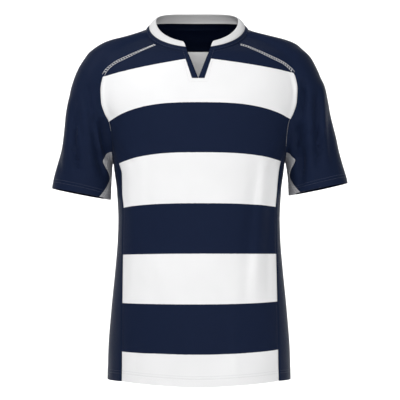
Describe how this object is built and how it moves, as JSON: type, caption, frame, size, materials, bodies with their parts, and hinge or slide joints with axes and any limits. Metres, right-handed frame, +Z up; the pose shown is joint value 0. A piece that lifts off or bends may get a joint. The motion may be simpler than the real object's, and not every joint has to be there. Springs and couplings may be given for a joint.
{
  "type": "rugby shirt",
  "caption": "Short-sleeved rugby shirt with navy and white hoops, raglan sleeves, side panels, underarm inserts and a low band collar open in a V, filled out as worn.",
  "frame": {"origin": "on the shirt's middle line between the shoulders, level with the neck seam at its sides, where the wearer's shoulders carry the shirt", "axes": "+Z up, towards the collar; the front faces -Y; the wearer's right is at -X"},
  "size_m": [0.6164, 0.2474, 0.7798],
  "materials": {
    "hooped_cloth": "matt knitted jersey, white and navy hoops",
    "navy_cloth": "smooth knitted jersey with a faint sheen",
    "grey_insert": "matt knitted jersey",
    "white_band": "matt double-layer knit"
  },
  "bodies": {
    "root": {"front_panel": "hooped_cloth", "back_panel": "hooped_cloth", "neck_trim": "navy_cloth", "collar_band": "white_band", "side_panel_right": "navy_cloth", "sleeve_right": "navy_cloth", "underarm_insert_right": "grey_insert", "placket_strip_right": "navy_cloth", "side_panel_left": "navy_cloth", "sleeve_left": "navy_cloth", "underarm_insert_left": "grey_insert", "placket_strip_left": "navy_cloth"}
  },
  "joints": []
}
